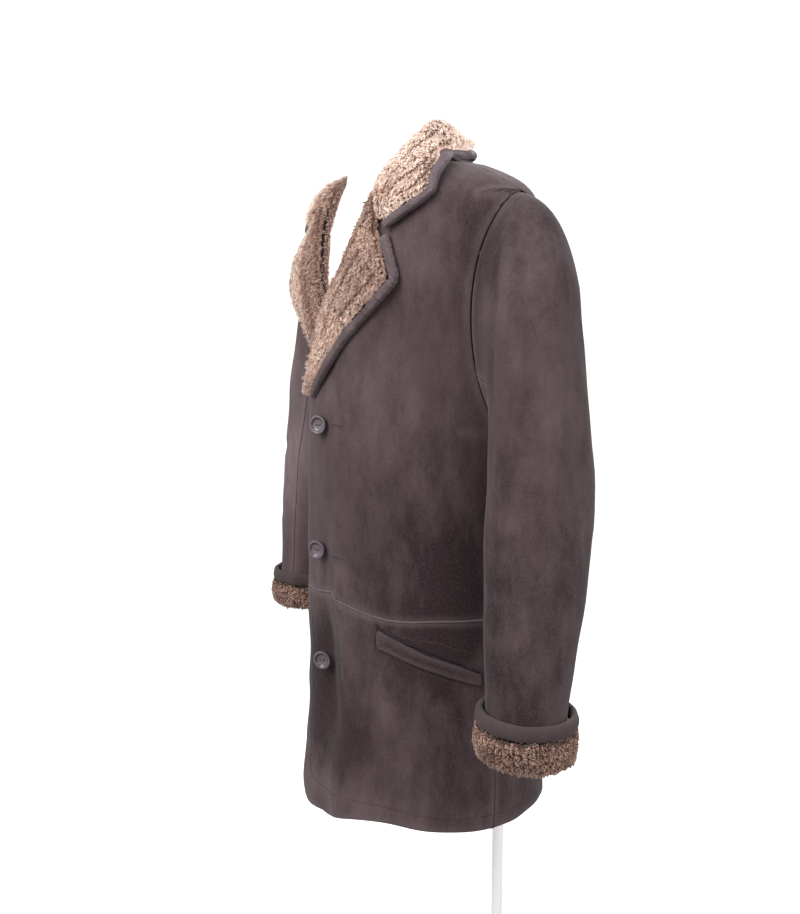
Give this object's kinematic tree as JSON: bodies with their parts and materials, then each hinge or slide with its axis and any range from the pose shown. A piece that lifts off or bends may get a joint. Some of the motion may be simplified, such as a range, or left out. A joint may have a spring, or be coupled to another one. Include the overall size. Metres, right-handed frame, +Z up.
{
  "type": "shearling coat on a dress form",
  "caption": "Three-quarter-length single-breasted shearling coat with turned-out fur collar, lapels and cuffs, worn by a limbless dress form on a pole and round base.",
  "frame": {"origin": "middle of the round base's underside, on the floor", "axes": "+Z up; the coat's front faces -Y and the wearer's left is +X"},
  "size_m": [0.742, 0.38, 1.628],
  "materials": {
    "nubuck": "brushed nubuck, dark taupe",
    "curly_fur": "curly shearling, cream tips over tan",
    "cuff_fur": "curly shearling, tan",
    "edging": "dark ruched leather",
    "horn": "polished dark horn",
    "form_white": "smooth white",
    "enamel": "white enamel"
  },
  "bodies": {
    "root": {"front_left": "nubuck", "front_right": "nubuck", "skirt_left": "nubuck", "skirt_right": "nubuck", "back": "nubuck", "skirt_back": "nubuck", "sleeve_top_left": "nubuck", "sleeve_top_right": "nubuck", "sleeve_under_left": "nubuck", "sleeve_under_right": "nubuck", "cuff_fur_left": "cuff_fur", "cuff_fur_right": "cuff_fur", "cuff_rim_left": "edging", "cuff_rim_right": "edging", "collar": "curly_fur", "lapel_left": "curly_fur", "lapel_right": "curly_fur", "edging_collar": "edging", "edging_lapel_left": "edging", "edging_lapel_right": "edging", "pocket_welt_left": "nubuck", "pocket_welt_right": "nubuck", "button_1": "horn", "button_2": "horn", "button_3": "horn", "form_torso": "form_white", "form_pole": "enamel", "form_base": "enamel"}
  },
  "joints": []
}
